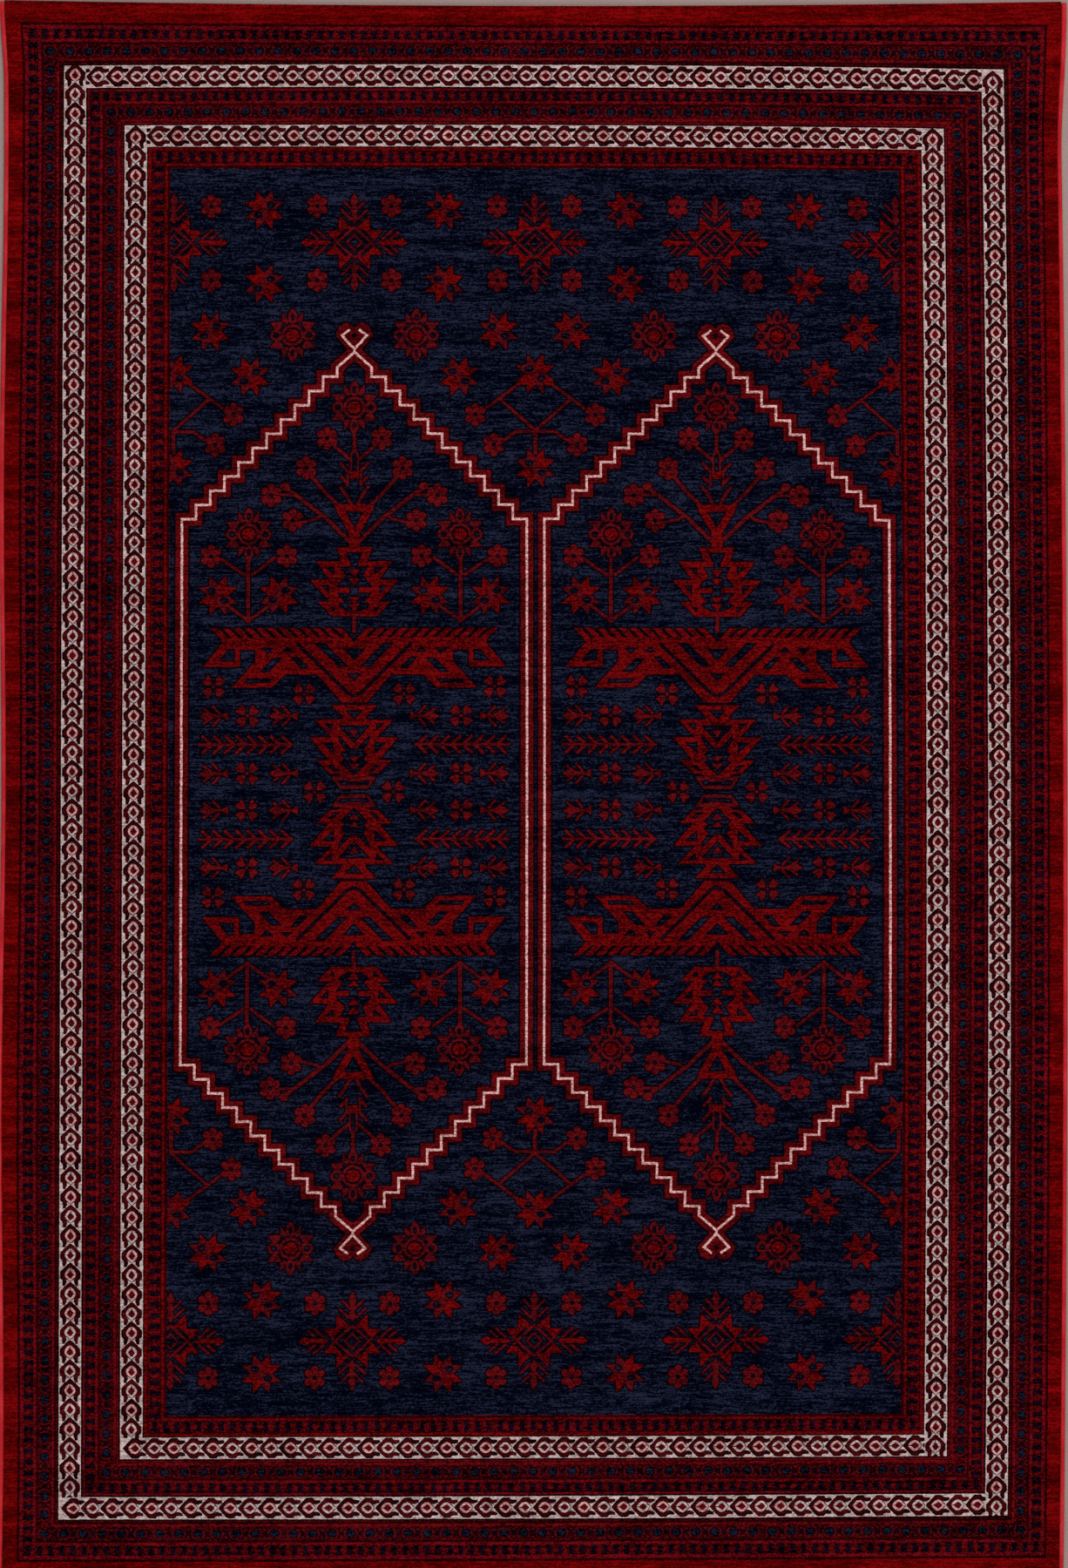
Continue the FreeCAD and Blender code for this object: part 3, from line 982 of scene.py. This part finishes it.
M = {
    # Painted shade for the sloping rim round each colour, where the tufts lean apart
    "shadow": pile("painted_edge_shade_pile", (3, 1, 4), (12, 3, 9), (26, 8, 18)),
    # The greyish lightest tone of the navy is partly painted glints on the fibres, partly the yarn's own
    # variation
    "navy_field": pile("navy_pile", (0, 0, 12), (3, 6, 19), (32, 36, 57), 0.62, 0.42, 0.42, 0.5),
    "margin": pile("margin_red_pile", (46, 0, 0), (84, 1, 2), (128, 6, 8), 0.4, 0.3, 0.4, 0.9),
    "guard": pile("guard_maroon_pile", (14, 0, 1), (44, 1, 4), (96, 6, 10), 0.5, 1.0),
    "inner_guard": pile("inner_guard_pile", (18, 0, 2), (56, 2, 6), (104, 7, 12), 0.5, 1.0),
    "ivory": pile("ivory_pile", (134, 112, 110), (176, 154, 152), (208, 188, 185), 0.4, 0.5, 0.2, 0.2),
    "red": pile("line_red_pile", (48, 1, 5), (78, 5, 10), (112, 12, 19), 0.5, 0.7),
    "bright": pile("motif_bright_pile", (42, 1, 3), (78, 3, 5), (116, 8, 10), 0.5, 0.7),
    "thin": pile("motif_stem_pile", (40, 3, 7), (68, 7, 12), (98, 14, 19), 0.5, 0.6),
    "petal": pile("motif_petal_pile", (46, 3, 6), (76, 7, 11), (106, 14, 19), 0.5, 0.6),
    "band": pile("medallion_band_pile", (44, 2, 4), (74, 5, 8), (106, 12, 16), 0.5, 0.6),
    "dark": pile("dark_maroon_pile", (16, 1, 2), (32, 1, 4), (54, 4, 8)),
    "black": pile("black_pile", (8, 1, 2), (22, 2, 4), (44, 8, 10)),
    "maroon": pile("chain_maroon_pile", (30, 1, 3), (48, 2, 5), (72, 8, 12)),
    "garnet": pile("chain_garnet_pile", (34, 1, 3), (54, 3, 6), (80, 12, 16)),
    "heart": pile("chain_heart_pile", (46, 1, 5), (70, 3, 9), (98, 12, 20)),
    "ring_warm": pile("ring_warm_pile", (142, 100, 99), (178, 134, 132), (206, 164, 161)),
    "ring_cool": pile("ring_cool_pile", (132, 112, 110), (170, 148, 146), (200, 180, 177)),
    "cross_navy": pile("guard_navy_pile", (2, 0, 4), (11, 2, 11), (28, 10, 26), 0.6, 0.9),
    "spot": pile("guard_spot_pile", (1, 2, 8), (5, 8, 21), (24, 31, 50), 0.7, 1.0),
    "line_ivory": pile("medallion_line_pile", (150, 100, 98), (200, 148, 146), (228, 184, 181),
                       0.4, 0.7, 0.2, 0.2),
    "thread": pile("guard_thread_pile", (10, 1, 4), (24, 2, 7), (44, 7, 14)),
    "serging": yarn_material("serging_yarn", (128, 8, 14), (196, 30, 38), (236, 78, 86)),
    "foundation": woven("foundation_weave", (150, 128, 96), (84, 66, 44), 0.004),
    "coat": woven("back_coat_weave", (150, 142, 128), (96, 88, 76), 0.006, 0.0),
    "tape": woven("hem_tape_weave", (120, 20, 24), (70, 8, 12), 0.003),
    "thread_seam": yarn_material("seam_thread", (120, 20, 24), (150, 40, 44), (180, 70, 74)),
}

# ---- grounds
def sheet_piece(name, half_width, half_length, bottom, top, grid, material, slot, node):
    """A flat sheet under the whole of a rectangle, standing for one CAD node."""
    solid = Solid()
    slab(solid, -half_width, half_width, -half_length, half_length, bottom, top, grid)
    obj = solid.finish(name, M[material], slot)
    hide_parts(node)
    return obj


foundation = sheet_piece("woven_foundation_sheet", WOVEN_HALF_WIDTH, HALF_LENGTH, COAT_TOP,
                         FOUNDATION_TOP, SHEET_GRID, "foundation", "foundation", "woven_foundation")
sheet_piece("ribbed_back_coat", WOVEN_HALF_WIDTH, HALF_LENGTH, 0.0, COAT_TOP, SHEET_GRID, "coat",
            "back_coat", "latex_back_coat")
sheet_piece("field_pile_navy", *FIELD, FOUNDATION_TOP, PILE_TOP, PILE_GRID, "navy_field", "pile_navy",
            "pile_field_ground")

for name, outer, inner, material, slot in (
        ("plain_margin", MARGIN, OUTER_GUARD, "margin", "pile_red"),
        ("outer_guard", OUTER_GUARD, OUTER_IVORY, "guard", "pile_red"),
        ("outer_ivory", OUTER_IVORY, MIDDLE_GUARD, "ivory", "pile_ivory"),
        ("middle_guard", MIDDLE_GUARD, INNER_IVORY, "guard", "pile_red"),
        ("inner_ivory", INNER_IVORY, INNER_GUARD, "ivory", "pile_ivory"),
        ("inner_guard", INNER_GUARD, FIELD, "inner_guard", "pile_red")):
    solid = Solid()
    across = max(1, int(round((outer[0] - inner[0]) / PILE_GRID)))
    ring(solid, outer, inner, FOUNDATION_TOP, PILE_TOP, PILE_GRID, across)
    ground = solid.finish(f"{name}_pile", M[material], slot)
    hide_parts(*(f"pile_{name}_{side}" for side in ("top", "bottom", "left", "right")))

# ---- lines of the border
LINE_GRID = 5.0
OUTER_STRIPE = (OUTER_GUARD, OUTER_IVORY)
MIDDLE_STRIPE = (MIDDLE_GUARD, INNER_IVORY)
INNER_STRIPE = (INNER_GUARD, FIELD)
# Each line runs between two fractions of its stripe, from the outside in
LINES = {
    "border_red_lines": ("red", "pile_red", (
        (OUTER_STRIPE, 0.065, 0.15), (OUTER_STRIPE, 0.385, 0.455), (OUTER_STRIPE, 0.83, 0.885),
        (MIDDLE_STRIPE, 0.05, 0.095), (MIDDLE_STRIPE, 0.365, 0.43), (MIDDLE_STRIPE, 0.83, 0.90),
        (MIDDLE_STRIPE, 0.925, 0.955))),
    "border_bright_lines": ("bright", "pile_red", (
        (INNER_STRIPE, 0.06, 0.19), (INNER_STRIPE, 0.77, 0.88))),
    "border_dark_lines": ("dark", "pile_red", (
        (OUTER_STRIPE, 0.012, 0.06), (OUTER_STRIPE, 0.46, 0.505), (OUTER_STRIPE, 0.89, 0.94),
        (MIDDLE_STRIPE, 0.1, 0.135), (MIDDLE_STRIPE, 0.435, 0.48), (MIDDLE_STRIPE, 0.902, 0.923),
        (INNER_STRIPE, 0.2, 0.235), (INNER_STRIPE, 0.72, 0.76), (INNER_STRIPE, 0.89, 0.98))),
    "border_black_lines": ("black", "pile_navy", (
        (OUTER_STRIPE, 0.962, 1.0), (MIDDLE_STRIPE, 0.0, 0.042), (MIDDLE_STRIPE, 0.96, 1.0),
        (INNER_STRIPE, 0.0, 0.05))),
}
top = PILE_TOP + LIFT["line"]
for name, (tone, slot, lines) in LINES.items():
    solid = Solid()
    for stripe, start, end in lines:
        edges = (between(*stripe, start), between(*stripe, end))
        ring(solid, *edges, top - RIM_DEPTH, top, LINE_GRID, 1, True)
    solid.finish(name, M[tone], slot)


# ---- motifs
def layers(shapes, level, names, inside=None, edge=EDGE_WIDTH):
    """One piece for each tone of a drawing."""
    top = PILE_TOP + LIFT[level]
    made = {}
    for tone, (points, tris) in painted(shapes, inside).items():
        name, material, slot = names[tone]
        solid = Solid()
        relief(solid, points, tris, top, edge)
        made[tone] = solid.finish(name, M[material], slot)
    return made


crosses = []
for stripe, fraction in ((OUTER_STRIPE, 0.27), (MIDDLE_STRIPE, 0.235), (INNER_STRIPE, 0.5)):
    crosses += along_sides(cross(), between(*stripe, fraction), CROSS_PITCH)
layers(crosses, "low", {"navy": ("guard_crosses", "cross_navy", "pile_navy"),
                        "red": ("guard_lozenges", "band", "pile_red")})
spots = []
for stripe, fraction in ((OUTER_STRIPE, 0.665), (MIDDLE_STRIPE, 0.65)):
    spots += along_sides(spot(), between(*stripe, fraction), DOT_PITCH)
layers(spots, "low", {"navy": ("guard_spots", "spot", "pile_navy"),
                      "red": ("guard_crescents", "band", "pile_red"),
                      "thread": ("guard_arcs", "thread", "pile_navy")}, edge=BROAD_EDGE)

for place, outer, inner, row, sides in (
        ("outer", OUTER_IVORY, MIDDLE_GUARD, (36.87, 5.5), ((36.245, -4.3, 0), (36.245, 2.9, 1))),
        ("inner", INNER_IVORY, INNER_GUARD, (36.55, 6.0), ((36.13, 0.0, 0), (36.69, -0.6, 0)))):
    layers(chain_drawing(outer, inner, row, sides), "mid", {
        "black": (f"{place}_chain_outlines", "black", "pile_navy"),
        "maroon": (f"{place}_chain_maroon_links", "maroon", "pile_red"),
        "garnet": (f"{place}_chain_garnet_links", "garnet", "pile_red"),
        "ring_warm": (f"{place}_chain_warm_rings", "ring_warm", "pile_ivory"),
        "ring_cool": (f"{place}_chain_cool_rings", "ring_cool", "pile_ivory"),
        "heart": (f"{place}_chain_hearts", "heart", "pile_red")}, inside=outer)

layers(field_drawing(), "mid", {
    "bright": ("field_bright_motifs", "bright", "pile_red"),
    "thin": ("field_stems_and_outlines", "thin", "pile_red"),
    "petal": ("field_flowers", "petal", "pile_red")}, inside=FIELD, edge=BROAD_EDGE)
for side, axis in (("left", -MEDALLION_X), ("right", MEDALLION_X)):
    made = layers(medallion_drawing(axis), "high", {
        "band": (f"medallion_band_{side}_pile", "band", "pile_red"),
        "ivory": (f"medallion_line_{side}_pile", "line_ivory", "pile_ivory")}, edge=BROAD_EDGE)
    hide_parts(f"pile_medallion_band_{side}")
    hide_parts(f"pile_medallion_line_{side}")

# ---- overcast side edges
SERGING_X = 996.0
SERGING_Z = 4.4
YARNS = 3                  # yarns wound side by side
YARN_PITCH = 3.4
YARN_RADIUS = 1.85
YARN_FLATNESS = 0.9        # a yarn's thickness over its width, where it is pulled tight
WINDING_RADIUS = 2.9
WINDING_WIDTH = 1.05       # the winding is this much wider than it is high
WINDING_END = 1.5          # how far it stops short of the end of the rug
PER_TURN = 14
AROUND = 6                 # sides of a yarn, a tuft or a stitch


def tube_faces(count, inside_out):
    """Faces of a capped tube whose vertices come ring by ring, AROUND to a ring."""
    faces = []
    for i in range(count - 1):
        for j in range(AROUND):
            a = i * AROUND + j
            b = i * AROUND + (j + 1) % AROUND
            faces.append((a, b, b + AROUND, a + AROUND))
    last = (count - 1) * AROUND
    faces.append(tuple(range(AROUND))[::-1])
    faces.append(tuple(range(last, last + AROUND)))
    return [f[::-1] for f in faces] if inside_out else faces


def angles(count):
    return [j * math.tau / count for j in range(count)]


def serging(side):
    """Yarns wound round a cord from one end of the rug to the other."""
    solid = Solid()
    count = int(2 * HALF_LENGTH / (YARNS * YARN_PITCH) * PER_TURN)
    k = np.arange(count + 1)
    y = -HALF_LENGTH + WINDING_END + 2 * (HALF_LENGTH - WINDING_END) * k / count
    for start in range(YARNS):
        angle = k * math.tau / PER_TURN + start * math.tau / YARNS
        loose = value_noise(y, y * 0.0 + 17.0 * start, 6.0, 31)
        radius = WINDING_RADIUS * (1 + 0.06 * loose)
        centre = np.column_stack([side * (SERGING_X + radius * np.cos(angle) * WINDING_WIDTH), y,
                                  SERGING_Z + radius * np.sin(angle)])
        tangent = np.gradient(centre, axis=0)
        tangent /= np.linalg.norm(tangent, axis=1)[:, None]
        out = np.column_stack([side * np.cos(angle), 0 * y, np.sin(angle)])
        out -= tangent * (out * tangent).sum(1)[:, None]
        out /= np.linalg.norm(out, axis=1)[:, None]
        across = np.cross(tangent, out)
        rows = [centre + YARN_RADIUS * (YARN_FLATNESS * math.cos(a) * out + math.sin(a) * across)
                for a in angles(AROUND)]
        solid.add(np.stack(rows, 1).reshape(-1, 3), tube_faces(count + 1, side > 0))
    return solid


for name, side in (("left", -1), ("right", 1)):
    obj = serging(side).finish(f"overcast_edge_{name}", M["serging"], "serging_yarn", smooth=True)
    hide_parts(f"side_serging_{name}", f"side_core_cord_{name}")

# ---- ends: tufts, hem tape and seams
TUFT_PITCH = 3.2
TUFT_RADIUS = 1.75
# A tuft's rings from its foot up: height, width over the radius, and lean over the end
TUFT_RINGS = ((FOUNDATION_TOP, 0.75, 0.0), (FOUNDATION_TOP + 3.5, 1.05, 0.9),
              (PILE_TOP - 1.2, 1.0, 1.2), (PILE_TOP + 0.1, 0.55, 0.7))
HEM_WIDTH = 30.0
SEAM_INSET = 6.0
STITCH_PITCH = 7.0
STITCH_LENGTH = 5.2
# Where along a stitch its rings are, and their radius
STITCH_RINGS = ((0.0, 0.25), (0.2, 0.6), (0.8, 0.6), (1.0, 0.25))


def end_tufts(way):
    """The outermost row of tufts, which shows on the end of the rug."""
    solid = Solid()
    for k in range(int(2 * (WOVEN_HALF_WIDTH - 2) / TUFT_PITCH)):
        x = -WOVEN_HALF_WIDTH + 3 + k * TUFT_PITCH
        lean = value_noise(np.array([x]), np.array([way * 50.0]), 4.0, 41)[0]
        verts = []
        for z, grow, out in TUFT_RINGS:
            y = HALF_LENGTH - 1.6 + out
            verts += [(x + lean * out * 0.7 + TUFT_RADIUS * grow * math.cos(a),
                       way * (y + grow * 1.5 * math.sin(a)), z) for a in angles(AROUND)]
        solid.add(verts, tube_faces(len(TUFT_RINGS), way < 0))
    return solid


def stitches(way):
    """A row of lock stitches along one edge of the hem tape and one along the other."""
    solid = Solid()
    for inset in (SEAM_INSET, HEM_WIDTH - SEAM_INSET):
        y = way * (HALF_LENGTH - inset)
        for k in range(int(2 * (WOVEN_HALF_WIDTH - 12) / STITCH_PITCH)):
            x = -WOVEN_HALF_WIDTH + 14 + k * STITCH_PITCH
            verts = []
            for t, r in STITCH_RINGS:
                verts += [(x + STITCH_LENGTH * t, y + r * math.cos(a), 0.1 + 0.45 * r * math.sin(a))
                          for a in angles(AROUND)]
            solid.add(verts, tube_faces(len(STITCH_RINGS), True))
    return solid


for name, way in (("top", 1), ("bottom", -1)):
    end_tufts(way).finish(f"end_tufts_{name}", M["margin"], "pile_red")
    solid = Solid()
    a, b = sorted((way * HALF_LENGTH, way * (HALF_LENGTH - HEM_WIDTH)))
    slab(solid, -WOVEN_HALF_WIDTH + 4, WOVEN_HALF_WIDTH - 4, a, b, 0.15, 1.0, HEM_WIDTH / 2)
    tape = solid.finish(f"hem_tape_{name}_weave", M["tape"], "hem_tape")
    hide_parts(f"hem_tape_{name}")
    seam = stitches(way).finish(f"hem_stitches_{name}", M["thread_seam"], "sewing_thread")
    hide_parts(f"hem_seam_{name}")

# ---- floor, light and camera
FLOOR_HALF = 15.0          # half the side of the floor, in metres
FLOOR_DROP = 0.0003        # it lies this much under the rug, so that the two don't share a plane
mesh = bpy.data.meshes.new("floor")
mesh.from_pydata([(FLOOR_HALF * x, FLOOR_HALF * y, 0) for x, y in ((-1, -1), (1, -1), (1, 1), (-1, 1))],
                 [], [(0, 1, 2, 3)])
floor = bpy.data.objects.new("floor", mesh)
floor.location = (0, 0, -FLOOR_DROP)
bpy.context.scene.collection.objects.link(floor)
n = Nodes("floor_plaster")
grain = n.noise((260.0, 420.0, 1.0), 3.0, 0.6)
soft = n.noise((6.0, 6.0, 1.0), 2.0, 0.5)
colour = n.ramp(n.weighed(grain, 0.7, soft, 0.3), ((0.3, (138, 119, 114)), (0.7, (166, 146, 140))))
mesh.materials.append(n.finish(colour, n.bump(grain, 0.2, 0.0004), roughness=0.8, specular=0.1, sheen=0.0))

world = bpy.data.worlds.new("studio")
world.use_nodes = True
world.node_tree.nodes["Background"].inputs["Color"].default_value = (1.0, 0.985, 0.97, 1.0)
world.node_tree.nodes["Background"].inputs["Strength"].default_value = 0.20
bpy.context.scene.world = world


def softbox(name, place, target, size, watts):
    light = bpy.data.lights.new(name, "AREA")
    light.shape = "RECTANGLE"
    light.size = size[0]
    light.size_y = size[1]
    light.energy = watts
    obj = bpy.data.objects.new(name, light)
    obj.location = place
    obj.rotation_euler = (Vector(target) - Vector(place)).to_track_quat("-Z", "Y").to_euler()
    bpy.context.scene.collection.objects.link(obj)


softbox("key", (1.9, 3.5, 5.4), (0.1, 0.3, 0.0), (4.0, 3.0), 206.0)
softbox("fill", (-0.4, -3.2, 5.7), (0.0, -0.6, 0.0), (4.0, 4.0), 148.0)

LENS = 85.0
SENSOR = 36.0
VIEW_LENGTH = 2.943        # what the picture takes in along the rug
VIEW_SHIFT = 0.013         # how far towards the top end the camera stands
camera_data = bpy.data.cameras.new("camera")
camera_data.lens = LENS
camera_data.sensor_width = SENSOR
camera_data.clip_end = 100.0
camera = bpy.data.objects.new("camera", camera_data)
camera.location = (0.0, VIEW_SHIFT, PILE_TOP * MM + VIEW_LENGTH * LENS / SENSOR)
bpy.context.scene.collection.objects.link(camera)
bpy.context.scene.camera = camera
bpy.context.scene.view_settings.view_transform = "Standard"
